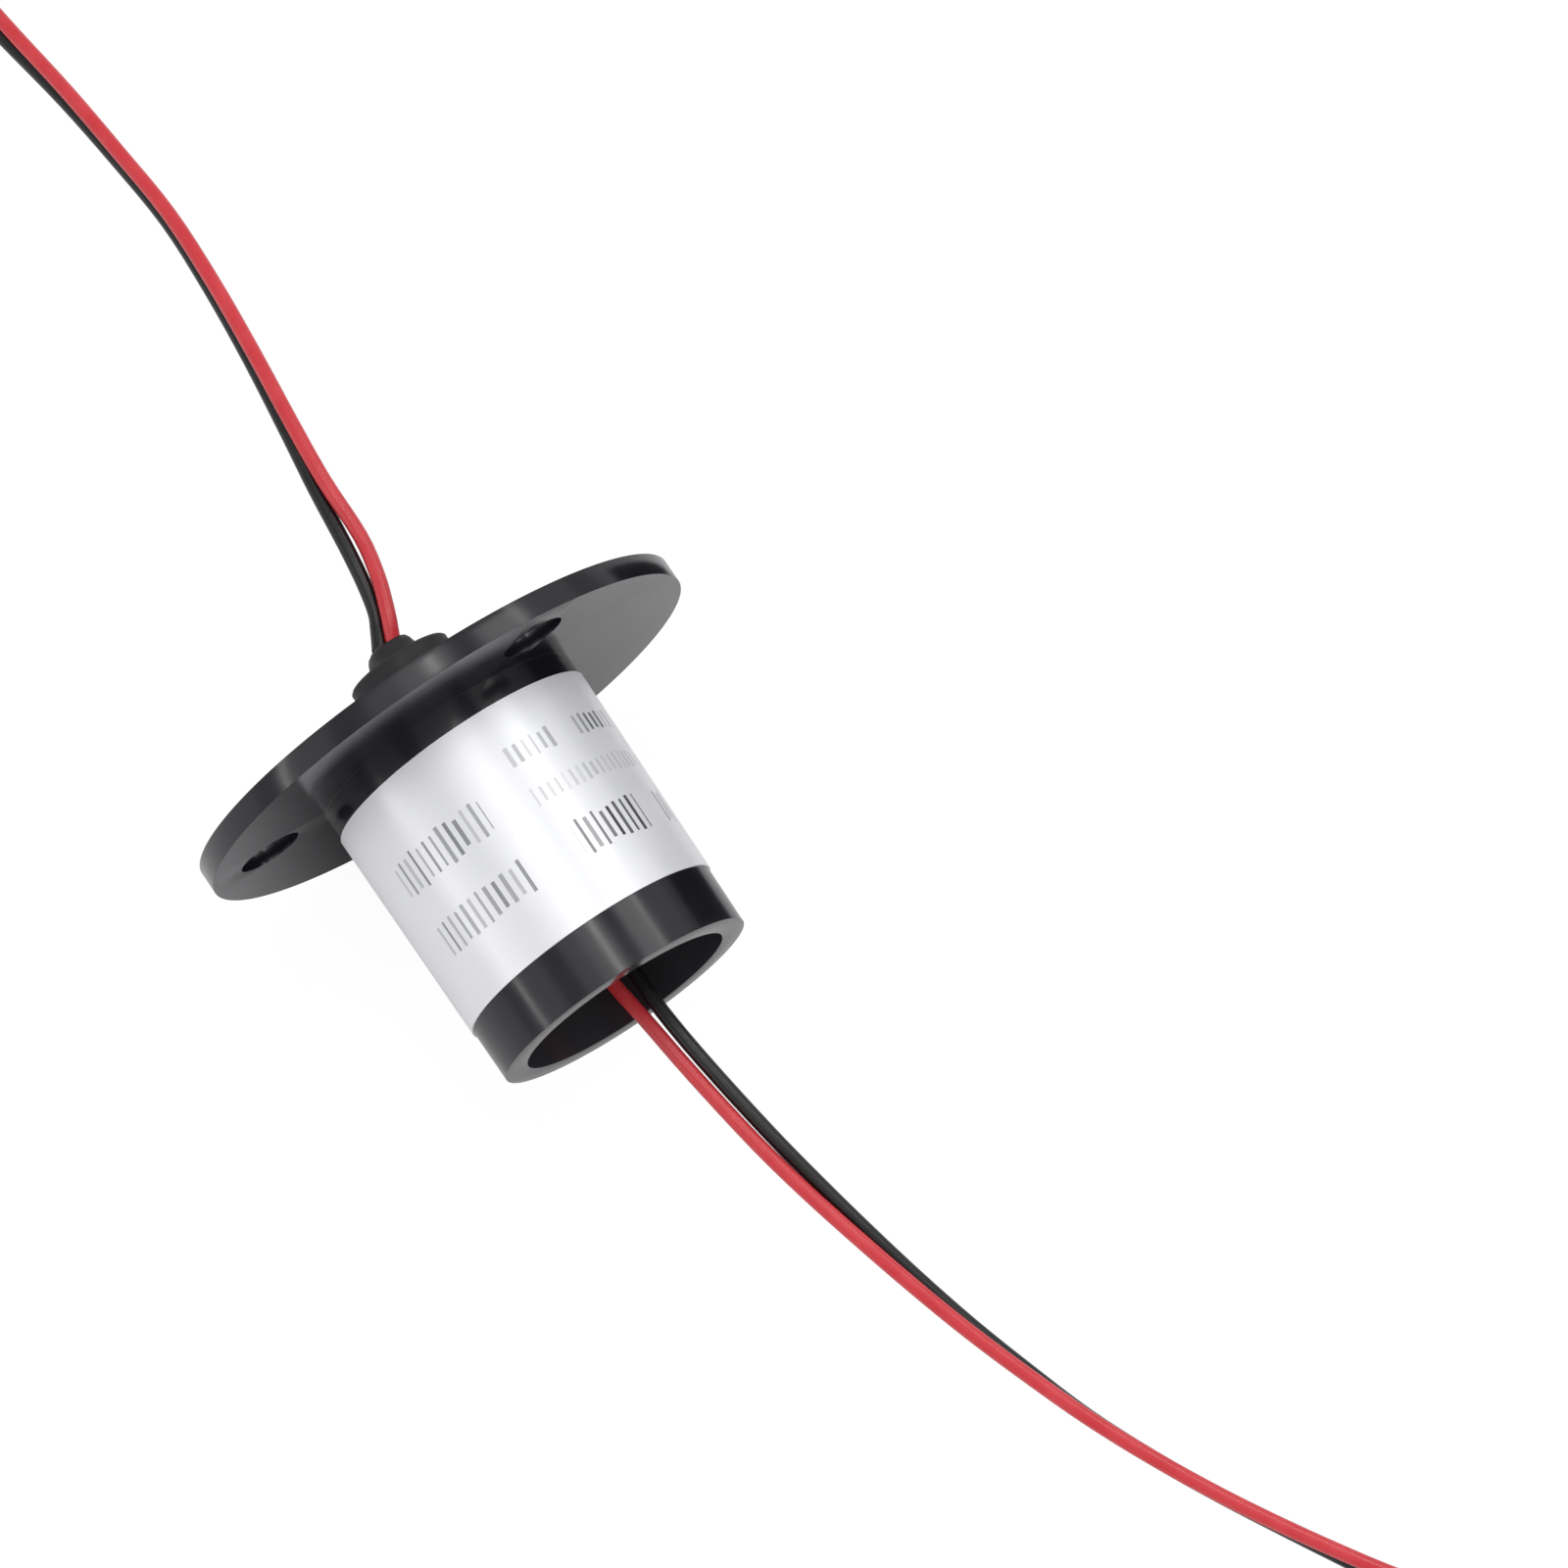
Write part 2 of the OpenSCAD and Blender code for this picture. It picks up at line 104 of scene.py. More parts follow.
stator_pair = [
    ((12, 0.9, -3.7), 180, 0.6), ((13, 0.95, -3.7), 180, 0.53), ((15, 1.1, -3.7), 180, 0.41),
    ((18, 1.45, -3.8), 180, 0.38), ((22, 2.1, -4.2), 175, 0.37), ((25, 2.75, -4.7), 162, 0.36),
    ((28, 3.5, -5.2), 144, 0.36), ((31, 4.35, -5.9), 131, 0.36), ((34, 5.3, -6.6), 121, 0.36),
    ((37, 6.4, -7.3), 112, 0.36), ((40, 7.6, -8), 103, 0.36), ((43, 9.05, -8.7), 100, 0.36),
    ((46, 10.7, -9.4), 98, 0.36), ((49, 12.5, -10), 92, 0.36), ((52, 14.4, -10.6), 78, 0.36),
    ((55, 16.3, -11.1), 45, 0.36), ((57.8, 17.7, -11.5), 20, 0.36), ((60.5, 18.5, -11.7), 0, 0.42),
]


def lead_route(pair, way, colour_side):
    """The line of one lead of a pair: the middle line plus half the spacing, turned by the pair's angle."""
    middle = [Vector(point) for point, _, _ in pair]
    line = []
    for i, (_, turn, half) in enumerate(pair):
        before, after = middle[max(i - 1, 0)], middle[min(i + 1, len(pair) - 1)]
        along = Vector((way, 0, 0)) if i == 0 else (after - before).normalized()
        beside = way * Vector((-along.y, along.x, 0)).normalized()
        above = way * along.cross(beside)
        angle = math.radians(turn)
        line.append(middle[i] + colour_side * half * (math.cos(angle) * beside + math.sin(angle) * above))
    return line


print("stations:", len(rotor_pair), "and", len(stator_pair))

# %% [markdown]
# A loose coil is a spiral. The first layer winds inwards, the wire then climbs by one thickness, and the second layer
# winds outwards on top of the first. It ends on the far side from where it came in, one layer higher, and a short
# tail leaves it towards the object, sloping down to the table. The coil lies on the lower side of its tie, so it is
# one thickness of the tie above the table.

# %% Coils and tails
tie_thickness = 0.2
turn_pitch = 0.72
coil_radius = 4
layer_turns = 3.75
climb_turns = 0.5
coil_in = coil_radius - turn_pitch * layer_turns / 2
coil_out = coil_radius + turn_pitch * layer_turns / 2
coil_z = floor_z + tie_thickness
tail_length = 4
tip_length = 3
tail_drop = math.radians(8.5)

# Where each lead enters its coil: x, y, heading in degrees, and the side of the heading that the coil lies on
entries = {
    "rotor_red": (-52, 1.9, 180, -1),
    "rotor_black": (-52, 0.4, 180, 1),
    "stator_red": (63.5, 19.2, 0, 1),
    "stator_black": (63.5, 18.1, 0, -1),
}


def smooth(t):
    """Rises gently from 0 to 1."""
    t = min(max(t, 0), 1)
    return t * t * (3 - 2 * t)


def coil_centre(entry):
    """The middle of a coil, straight to the side of the place where its lead comes in."""
    x, y, heading, side = entry
    angle = math.radians(heading)
    return Vector((x - side * coil_out * math.sin(angle), y + side * coil_out * math.cos(angle), 0))


def coil_line(entry, per_turn=24):
    """In along the table for half of the turns, up one pitch, and out again for the other half."""
    side = entry[3]
    centre = coil_centre(entry)
    start = math.atan2(entry[1] - centre.y, entry[0] - centre.x)
    line = []
    for i in range(int(2 * layer_turns * per_turn) + 1):
        turns = i / per_turn
        radius = coil_in + abs(layer_turns - turns) * turn_pitch
        angle = start + side * 2 * math.pi * turns
        z = coil_z + turn_pitch * (0.5 + smooth((turns - layer_turns) / climb_turns + 0.5))
        line.append(Vector((centre.x + radius * math.cos(angle), centre.y + radius * math.sin(angle), z)))
    return line


def coil_end(entry):
    """Where the wire leaves the top layer: straight across the coil from where it came in."""
    centre = coil_centre(entry)
    return Vector((2 * centre.x - entry[0], 2 * centre.y - entry[1], coil_z + 1.5 * turn_pitch))


def tail_way(entry):
    """The direction of the tail: back along the heading and down by the tail's slope."""
    back = math.radians(entry[2] + 180)
    flat = math.cos(tail_drop)
    return Vector((flat * math.cos(back), flat * math.sin(back), -math.sin(tail_drop)))


def tail_line(entry, steps=4):
    """The straight end of the lead past its coil, sloping down to the table."""
    return [coil_end(entry) + tail_way(entry) * tail_length * k / steps for k in range(1, steps + 1)]


print("coil from", round(coil_in, 2), "to", round(coil_out, 2), "mm in radius")

# %% [markdown]
# The points are joined by a smooth curve that passes through all of them (a Catmull-Rom curve), and a round tube is
# swept along it. A bevelled curve does the sweep, and is then made a mesh, because the rotor's leads have to bend
# where they turn with the hub. The route and the first two points of the coil are smoothed together, so that the lead
# runs into its coil without a kink, and the coil's own curve goes on from there.

# %% Tube along a line


def through(points, parts):
    """A smooth curve through the points, with each step cut into parts."""
    line = []
    last = len(points) - 1
    for i in range(last):
        a, b, c, d = points[max(i - 1, 0)], points[i], points[i + 1], points[min(i + 2, last)]
        for k in range(parts):
            t = k / parts
            square, cube = 2 * a - 5 * b + 4 * c - d, 3 * b - a - 3 * c + d
            line.append(0.5 * (2 * b + (c - a) * t + square * t**2 + cube * t**3))
    return line + [points[last]]


def select_only(piece):
    """Selects one piece alone and makes it the active one."""
    bpy.ops.object.select_all(action="DESELECT")
    piece.select_set(True)
    bpy.context.view_layer.objects.active = piece


def tube(name, line, radius, roundness=4):
    """A round tube of that radius along a line of points in mm, as a mesh."""
    curve = bpy.data.curves.new(name, "CURVE")
    curve.dimensions = "3D"
    spline = curve.splines.new("POLY")
    spline.points.add(len(line) - 1)
    for point, at in zip(spline.points, line):
        point.co = (*(at * mm), 1)
    curve.bevel_depth = radius * mm
    curve.bevel_resolution = roundness
    curve.use_fill_caps = True
    piece = bpy.data.objects.new(name, curve)
    bpy.context.scene.collection.objects.link(piece)
    select_only(piece)
    bpy.ops.object.convert(target="MESH")
    bpy.ops.object.shade_smooth_by_angle(angle=math.radians(40))
    return bpy.context.object


route_parts = 4
coil_parts = 2
lead_lines = {}
for name, entry in entries.items():
    pair, way = (rotor_pair, -1) if name.startswith("rotor") else (stator_pair, 1)
    colour_side = 1 if name.endswith("red") else -1
    route = through(lead_route(pair, way, colour_side) + coil_line(entry)[:2], route_parts)
    lead_lines[name] = route[:-route_parts] + through(coil_line(entry), coil_parts) + tail_line(entry)

leads = {name: tube(name + "_lead", line, lead_radius) for name, line in lead_lines.items()}
for name, line in lead_lines.items():
    length = sum((b - a).length for a, b in zip(line, line[1:]))
    print(name, "lead:", round(length, 1), "mm,", len(leads[name].data.polygons), "faces")

# %% [markdown]
# The last 3 mm of each lead is stripped and tinned: seven fine copper strands twisted together. One strand runs down
# the middle, and six wind round it as a helix. They are swept tubes as well, because a screw modifier would give all
# of them one length, and real strands are never cut quite even. They are joined into one piece.

# %% Twisted tinned ends
strand_radius = 0.067
strand_lay = 2.6  # length of one full turn
strand_steps = 24
outer_strands = 6
uneven_cut = 0.12
hidden_length = 0.3  # of the strands inside the insulation


def join(pieces):
    """Joins pieces into the first of them."""
    bpy.ops.object.select_all(action="DESELECT")
    for piece in pieces:
        piece.select_set(True)
    bpy.context.view_layer.objects.active = pieces[0]
    bpy.ops.object.join()


def twisted_end(name, entry):
    """The strands of one tip: six wind round, and the last one runs straight down the middle."""
    way = tail_way(entry)
    beside = way.cross(Vector((0, 0, 1))).normalized()
    above = beside.cross(way)
    start = coil_end(entry) + way * (tail_length - hidden_length)
    strands = []
    for k in range(outer_strands + 1):
        line = []
        for i in range(strand_steps + 1):
            along = i / strand_steps * (tip_length + hidden_length - (uneven_cut * (k % 3)))
            angle = 2 * math.pi * (k / outer_strands + along / strand_lay)
            out = 0 if k == outer_strands else 2 * strand_radius
            line.append(start + way * along + out * (math.cos(angle) * beside + math.sin(angle) * above))
        strands.append(tube(name, line, strand_radius, roundness=2))
    join(strands)
    strands[0].name = name
    return strands[0]


tips = {name: twisted_end(name + "_tip", entry) for name, entry in entries.items()}
print("strands in a tip:", outer_strands + 1, "faces:", len(tips["rotor_red"].data.polygons))

# %% [markdown]
# ## Small tools for modelling
#
# Most of the other pieces are turned shapes. A turned shape is drawn as half of its section and spun round the axis.
# By hand that is: add a plane, merge it to one vertex, extrude that vertex along the outline, and use Spin. The same
# operators are wrapped in one function here. Afterwards the doubled vertices are merged and the normals made to point
# outwards, because Spin can leave both wrong.

# %% Turned shapes


def lathe(name, outline, steps, start=0.0, sweep=360.0):
    """Spins an outline of (x, radius) points in mm round the X axis. Angles run from +Z towards +Y, in degrees."""
    angle = math.radians(start)
    ray = Vector((0, math.sin(angle), math.cos(angle)))
    points = [(Vector((x, 0, 0)) + ray * r) * mm for x, r in outline]
    bpy.ops.object.select_all(action="DESELECT")
    bpy.ops.mesh.primitive_plane_add(size=mm, location=(0, 0, 0))
    piece = bpy.context.object
    piece.name = piece.data.name = name
    bpy.ops.object.mode_set(mode="EDIT")
    bpy.ops.mesh.select_mode(type="VERT")
    bpy.ops.mesh.select_all(action="SELECT")
    bpy.ops.mesh.merge(type="CENTER")
    bpy.ops.transform.translate(value=points[0])
    for a, b in zip(points, points[1:]):
        bpy.ops.mesh.extrude_region_move(TRANSFORM_OT_translate={"value": b - a})
    bpy.ops.mesh.select_all(action="SELECT")
    bpy.ops.mesh.spin(steps=steps, angle=math.radians(sweep), center=(0, 0, 0), axis=(1, 0, 0))
    bpy.ops.mesh.select_all(action="SELECT")
    bpy.ops.mesh.remove_doubles(threshold=1e-6)
    bpy.ops.mesh.normals_make_consistent(inside=False)
    bpy.ops.object.mode_set(mode="OBJECT")
    return piece


def modify(piece, kind, **settings):
    """Adds a modifier, sets it and applies it."""
    select_only(piece)
    modifier = piece.modifiers.new(kind.title(), kind)
    for key, value in settings.items():
        setattr(modifier, key, value)
    bpy.ops.object.modifier_apply(modifier=modifier.name)


def cut(piece, cutter):
    """Takes the cutter out of the piece, and removes the cutter."""
    modify(piece, "BOOLEAN", object=cutter, operation="DIFFERENCE", solver="EXACT")
    bpy.data.objects.remove(cutter)


def rod_x(radius, length, at):
    """A round rod along X, for cutting holes (mm)."""
    bpy.ops.object.select_all(action="DESELECT")
    bpy.ops.mesh.primitive_cylinder_add(
        vertices=64, radius=radius * mm, depth=length * mm, location=Vector(at) * mm, rotation=(0, math.pi / 2, 0)
    )
    return bpy.context.object


def smooth_shade(piece, angle=30):
    """Smooth shading except over sharp edges, with flat faces kept flat."""
    select_only(piece)
    bpy.ops.object.shade_smooth_by_angle(angle=math.radians(angle))
    modify(piece, "WEIGHTED_NORMAL", keep_sharp=True)


print("tools ready")

# %% [markdown]
# ## The housing
#
# Flange and barrel are one moulding in glossy black plastic. The barrel has a little draft, so that it comes out of
# its mould. Inside, the bore ends at a wall that holds the front bearing, and the hub turns in an opening in the
# flange. Three screw holes go through the flange. All edges get a small rounding: no moulded edge is perfectly sharp,
# and the thin bright line along a rounded edge is what makes it look real.
#
# The CAD solid has the same shape. It is made again here with a finer turn, so that the reflections run smoothly.

# %% Housing
flange_radius = 12.4
flange_thickness = 1.1
barrel_length = 14.3
barrel_root_radius = 6.45
barrel_end_radius = 6.3
bore_radius = 5.15
bore_bottom = 1.5
hub_opening = 3.3
bearing_seat = 4
bearing_stop = -0.7
screw_circle = 9.4
screw_hole = 1.5
cutter_length = 4

housing = lathe("housing_moulding", [
    (-flange_thickness, hub_opening),
    (-flange_thickness, flange_radius),
    (0, flange_radius),
    (0, barrel_root_radius),
    (barrel_length, barrel_end_radius),
    (barrel_length, bore_radius),
    (bore_bottom, bore_radius),
    (bore_bottom, bearing_seat),
    (bearing_stop, bearing_seat),
    (bearing_stop, hub_opening),
    (-flange_thickness, hub_opening),
], steps=256)
for angle in (30, 150, 270):
    turn = math.radians(angle)
    middle = (-flange_thickness / 2, screw_circle * math.sin(turn), screw_circle * math.cos(turn))
    cut(housing, rod_x(screw_hole, cutter_length, middle))
modify(housing, "BEVEL", width=0.1 * mm, segments=3, limit_method="ANGLE", angle_limit=math.radians(40))
smooth_shade(housing)
print("housing faces:", len(housing.data.polygons))

# %% [markdown]
# ## The label
#
# A strip of silver film is wrapped round the barrel by hand, so it sits slightly crooked, and its ends stop short of
# each other underneath. A shrink-wrapped grid would follow the barrel as well, but the barrel is a turned shape, so
# the film is spun too, as an open surface. It is then skewed a little and thickened outwards.

# %% Label
label_start = 1.3
label_length = 10.45
label_thickness = 0.08
label_wrap = 330  # degrees round the barrel
label_steps = 10
label_skew = -0.25 / 150  # mm along the axis for each degree round the barrel
unskewed_at = -90  # the left side keeps its place


def barrel_radius(x):
    """The outer radius of the barrel at a place along the axis."""
    return barrel_root_radius + (barrel_end_radius - barrel_root_radius) * x / barrel_length


label_line = [label_start + label_length * k / label_steps for k in range(label_steps + 1)]
label_outline = [(x, barrel_radius(x)) for x in label_line]
label = lathe("label_film", label_outline, steps=240, start=label_wrap / 2, sweep=label_wrap)
for vertex in label.data.vertices:
    around = math.degrees(math.atan2(vertex.co.y, vertex.co.z))
    vertex.co.x += label_skew * (around - unskewed_at) * mm
first = label.data.polygons[0]
if first.normal.dot(Vector((0, first.center.y, first.center.z))) < 0:
    label.data.flip_normals()
modify(label, "SOLIDIFY", thickness=label_thickness * mm, offset=1)
smooth_shade(label)
print("label faces:", len(label.data.polygons), "box:", [round(d / mm, 2) for d in label.dimensions])

# %% [markdown]
# ## Resin on the hub and in the open end
#
# Both ends are sealed with black epoxy resin, put on as a drop. On the hub it sets as a small uneven cone round the
# two leads, with a foot that runs out thin. The cone starts as a turned shape. Its points are then moved in and out by
# a smooth noise, because a poured drop is never quite round, and the leads are cut out of it.

# %% Resin cone on the hub
cone_foot = -4.05
lump_scale = 0.9  # per mm
lump_depth = 0.12
lump_from = Vector((3, 7, 1))  # picks the part of the noise

hub_resin = lathe("hub_resin", [
    (cone_foot, 0), (cone_foot, 1.0), (cone_foot, 1.8), (-4.11, 1.58), (-4.21, 1.4), (-4.35, 1.27), (-4.54, 1.18),
    (-4.74, 1.1), (-4.91, 1.0), (-5.03, 0.84), (-5.1, 0.56), (-5.12, 0.25), (-5.12, 0),
], steps=64)
for vertex in hub_resin.data.vertices:
    x, y, z = vertex.co / mm
    if x < cone_foot - 0.01:
        lump = noise.noise(Vector((x, y, z)) * lump_scale + lump_from)
        grow = 1 + lump_depth * lump
        vertex.co = Vector((x - 0.1 * lump, y * grow, z * grow)) * mm
(exit_x, _, _), _, half_spacing = rotor_pair[0]
for side in (-1, 1):
    cut(hub_resin, rod_x(lead_radius, 6, (exit_x, side * half_spacing, 0)))
smooth_shade(hub_resin, angle=50)
print("hub resin faces:", len(hub_resin.data.polygons))

# %% [markdown]
# In the open end the resin fills the barrel like a pool. Before it sets it creeps a little up the wall and up the
# leads, as water does in a glass, and its face stays faintly wavy. The pool is a disc of many rings, so that there
# are points to move. Each point rises by an amount that dies away with its distance from the wall or from a lead.

# %% Resin pool in the open end
pool_face = 12
pool_back = 11.4
ring_count = 24
wall_rise, wall_reach = 0.3, 0.25
lead_rise, lead_reach = 0.25, 0.2
wave_height, wave_scale = 0.08, 0.6
stator_exits = [Vector((0, 0.3, -3.7)), Vector((0, 1.5, -3.7))]

pool_line = [(pool_face, bore_radius * k / ring_count) for k in range(ring_count)]
pool_line += [(pool_face, bore_radius), (pool_back, bore_radius), (pool_back, 0)]
end_resin = lathe("end_resin", pool_line, steps=128)
for vertex in end_resin.data.vertices:
    x, y, z = vertex.co / mm
    if x > pool_face - 0.01:
        to_wall = bore_radius - math.hypot(y, z)
        to_lead = min(math.hypot(y - e.y, z - e.z) - lead_radius for e in stator_exits)
        rise = wall_rise * math.exp(-to_wall / wall_reach) + lead_rise * math.exp(-max(to_lead, 0) / lead_reach)
        rise += wave_height * noise.noise(Vector((y, z, 0)) * wave_scale)
        vertex.co.x = (x + rise) * mm
for exit_point in stator_exits:
    cut(end_resin, rod_x(lead_radius, cutter_length, (pool_face, exit_point.y, exit_point.z)))
smooth_shade(end_resin, angle=50)
print("end resin faces:", len(end_resin.data.polygons))

# %% [markdown]
# ## The ties
#
# A flat white tie, coated paper over a thin wire, holds each coil: a band round the turns, with its two ends twisted
# together on top. The band is a box without two of its sides, with rounded corners and a thickness. The twisted ends
# are a flat bar turned by the Simple Deform modifier.

# %% Tools for the ties
tie_width = 1.2
tie_slack = 0.1
band_in = coil_in - turn_pitch / 2 - tie_slack
band_out = coil_out + turn_pitch / 2
band_height = 2 * turn_pitch + 2 * tie_thickness


def box(size, at):
    """A block of that size in mm, centred at a point."""
    bpy.ops.object.select_all(action="DESELECT")
    bpy.ops.mesh.primitive_cube_add(size=1, location=Vector(at) * mm)
    piece = bpy.context.object
    piece.scale = Vector(size) * mm
    bpy.ops.object.transform_apply(location=True, rotation=True, scale=True)
    return piece


def tie_band(corner=0.42):
    """The band round the turns, with its corners rounded by that much."""
    width = band_out - band_in + 2 * tie_thickness
    band = box((width, tie_width, band_height), ((band_in + band_out) / 2, 0, band_height / 2))
    for face in band.data.polygons:
        face.select = abs(face.normal.y) > 0.9
    bpy.ops.object.mode_set(mode="EDIT")
    bpy.ops.mesh.select_mode(type="FACE")
    bpy.ops.mesh.delete(type="FACE")
    bpy.ops.object.mode_set(mode="OBJECT")
    for edge in band.data.edges:
        a, b = (band.data.vertices[v].co for v in edge.vertices)
        edge.select = abs(a.y - b.y) > 0.5 * tie_width * mm
    bpy.ops.object.mode_set(mode="EDIT")
    bpy.ops.mesh.select_mode(type="EDGE")
    bpy.ops.mesh.bevel(offset=corner * mm, segments=5, affect="EDGES")
    bpy.ops.object.mode_set(mode="OBJECT")
    modify(band, "SOLIDIFY", thickness=tie_thickness * mm, offset=-1)
    return band


print("tie band from", round(band_in, 2), "to", round(band_out, 2), "mm from the middle of its coil")

# %% [markdown]
# The bar stands upright while it is twisted, because the modifier twists about Z. Its long edges are cut into many
# short ones first, since only points that are there can turn. It is then laid down along the top of the band, and its
# place is written into its mesh before the two are joined.

# %% Ties
twist_size = (0.62, 0.24, 3.4)
twist_cuts = 28
twist_turn = math.radians(900)
twist_middle = Vector((coil_radius, 1.9, band_height + 0.16))


def tie_twist():
    """The two ends, twisted together and laid along the top of the coil."""
    bar = box(twist_size, (0, 0, 0))
    for edge in bar.data.edges:
        a, b = (bar.data.vertices[v].co for v in edge.vertices)
        edge.select = abs(a.z - b.z) > 1 * mm
    bpy.ops.object.mode_set(mode="EDIT")
    bpy.ops.mesh.select_mode(type="EDGE")
    bpy.ops.mesh.subdivide(number_cuts=twist_cuts)
    bpy.ops.object.mode_set(mode="OBJECT")
    modify(bar, "SIMPLE_DEFORM", deform_method="TWIST", deform_axis="Z", angle=twist_turn)
    modify(bar, "BEVEL", width=0.05 * mm, segments=2, limit_method="ANGLE", angle_limit=math.radians(50))
    bar.matrix_world = Matrix.Translation(twist_middle * mm) @ Matrix.Rotation(math.pi / 2, 4, "X")
    select_only(bar)
    bpy.ops.object.transform_apply(location=True, rotation=True, scale=True)
    return bar


band = tie_band()
join([band, tie_twist()])
modify(band, "BEVEL", width=0.03 * mm, segments=2, limit_method="ANGLE", angle_limit=math.radians(50))
smooth_shade(band, angle=40)
print("tie faces:", len(band.data.polygons))

# %% [markdown]
# The tie is modelled once, beside the origin. Each coil gets a copy with its own mesh, turned to the end of the coil
# that is farthest from the object, and its place is then written into the mesh.

# %% Place the ties
ties = {}
for name, entry in entries.items():
    copy = band.copy()
    copy.data = band.data.copy()
    copy.name = copy.data.name = name + "_tie"
    bpy.context.scene.collection.objects.link(copy)
    centre = coil_centre(entry)
    centre.z = floor_z
    copy.matrix_world = Matrix.Translation(centre * mm) @ Matrix.Rotation(math.radians(entry[2]), 4, "Z")
    select_only(copy)
    bpy.ops.object.transform_apply(location=True, rotation=True, scale=True)
    ties[name] = copy
bpy.data.objects.remove(band)
print("ties:", list(ties))

# %% [markdown]
# ## Materials
#
# One small function adds a shader node with its settings and links. Another turns a colour as it is written for the
# screen into the linear numbers that the shader wants. Patterns are given in real millimetres and read the object's
# own coordinates, so they keep their size and stay put when the part turns.

# %% Material tools


def colour(code):
    """A colour such as #1c1c1f as linear red, green, blue and alpha."""
    parts = [int(code[i:i + 2], 16) / 255 for i in (1, 3, 5)]
    return [c / 12.92 if c <= 0.04045 else ((c + 0.055) / 1.055) ** 2.4 for c in parts] + [1]


def fill(tree, node, inputs):
    """Fills inputs of a node with values or links. A node that is given as a value links its first output in use."""
    for socket, value in inputs.items():
        if isinstance(value, bpy.types.Node):
            value = next(output for output in value.outputs if output.enabled)
        if isinstance(value, bpy.types.NodeSocket):
            tree.links.new(value, node.inputs[socket])
        else:
            node.inputs[socket].default_value = value


def add(tree, kind, inputs=None, **settings):
    """Adds a node with its settings and its inputs."""
    new = tree.nodes.new(kind)
    for key, value in settings.items():
        setattr(new, key, value)
    fill(tree, new, inputs or {})
    return new


def start_material(name, roughness, metallic=0.0):
    """A new material with only its shader. Returns the material, its node tree, the shader and object coordinates."""
    material = bpy.data.materials.new(name)
    material.use_nodes = True
    tree = material.node_tree
    shader = tree.nodes["Principled BSDF"]
    fill(tree, shader, {"Metallic": metallic, "Roughness": roughness, "IOR": 1.5})
    return material, tree, shader, add(tree, "ShaderNodeTexCoord").outputs["Object"]


print("white as linear:", colour("#ffffff"))

# %% [markdown]
# Most finishes here differ only in numbers, so one recipe serves them. A noise in object coordinates lays patches of a
# known size over the piece. The patches mix two close tones of the colour and make the surface a little glossier here
# and duller there. A finer noise moves the surface up and down by a few thousandths of a millimetre. A noise stays
# near its middle, so the span that it really uses is stretched to the whole range.

# %% Recipe for a surface
noise_low, noise_high = 0.3, 0.7


def surface(name, code, other, roughness, spread, size, bump, metallic=0.0):
    """A surface with patches of a size in mm. The colour runs between two tones, and the roughness by spread to
    either side. bump is the height in mm of an unevenness a quarter of that size."""
    material, tree, shader, where = start_material(name, roughness, metallic)
    patches = add(tree, "ShaderNodeTexNoise", {"Vector": where, "Scale": 1000 / size, "Detail": 4.0})
    fine = add(tree, "ShaderNodeTexNoise", {"Vector": where, "Scale": 4000 / size, "Detail": 3.0})
    share = add(tree, "ShaderNodeMapRange", {"Value": patches, "From Min": noise_low, "From Max": noise_high})
    gloss = add(tree, "ShaderNodeMapRange", {
        "Value": patches, "From Min": noise_low, "From Max": noise_high,
        "To Min": roughness - spread, "To Max": roughness + spread,
    })
    tones = {"Factor": share, "A": colour(code), "B": colour(other)}
    fill(tree, shader, {
        "Base Color": add(tree, "ShaderNodeMix", tones, data_type="RGBA"),
        "Roughness": gloss,
        "Normal": add(tree, "ShaderNodeBump", {"Height": fine, "Strength": 1.0, "Distance": bump * mm}),
    })
    return material


print("a noise is stretched from", noise_low, "to", noise_high)

# %% [markdown]
# ### Plastics, soft insulation and resin
#
# The housing plastic is glossy with a very slight orange-peel waviness. The hub is duller. The lead insulation is soft
# shiny plastic. Their colours vary by a few percent only, but the gloss varies more, which is how handled plastic
# looks. Plastics and resins have an IOR of about 1.5, which is also what the metals keep.
#
# Nobody can see from outside which plastic a part is made of. The ones named below are guesses at what is usual in
# such a part, and the looks don't depend on them.

# %% Plastics
# Perhaps ABS, from a polished mould: deep black with sharp, faintly wavy reflections
housing_black = surface("black_plastic_glossy", "#131418", "#18191d", 0.18, 0.03, 3.0, 0.0006)
# Moulded, perhaps nylon with glass fibre: a dull, slightly grainy black
hub_black = surface("black_plastic_satin", "#17171a", "#1e1e21", 0.58, 0.06, 0.8, 0.006)
# Epoxy, poured and cured in air: dull, with dust in it and small dents and lumps
resin_black = surface("black_epoxy_resin", "#161618", "#1d1d1f", 0.52, 0.1, 0.9, 0.015)
# Perhaps PVC, extruded round the wire: an even colour and a soft shine that runs along the lead
lead_red = surface("red_lead_insulation", "#d8363d", "#e04248", 0.3, 0.05, 1.2, 0.0015)
lead_black = surface("black_lead_insulation", "#101011", "#181819", 0.34, 0.05, 1.2, 0.0015)
# Coated paper over a thin wire: a dull white with broad soft highlights
tie_white = surface("white_tie_plastic", "#dedede", "#e8e8e6", 0.45, 0.08, 0.6, 0.004)
# Moulded, perhaps acetal: an ivory tone with a dry, even sheen
barrier_ivory = surface("ivory_plastic_matte", "#ded6c0", "#e8e2d0", 0.5, 0.08, 0.8, 0.003)
print("plastics:", housing_black.name, hub_black.name, resin_black.name)

# %% [markdown]
# The inside of the barrel is painted a lighter black: painted light, for the light that reaches into the bore.
# Inside and outside are one piece, so a mask picks out the bore by its distance from the axis and along it.

# %% Painted light inside the barrel
bore_edge = bore_radius + 0.04  # just past the wall of the bore
bore_start = 2

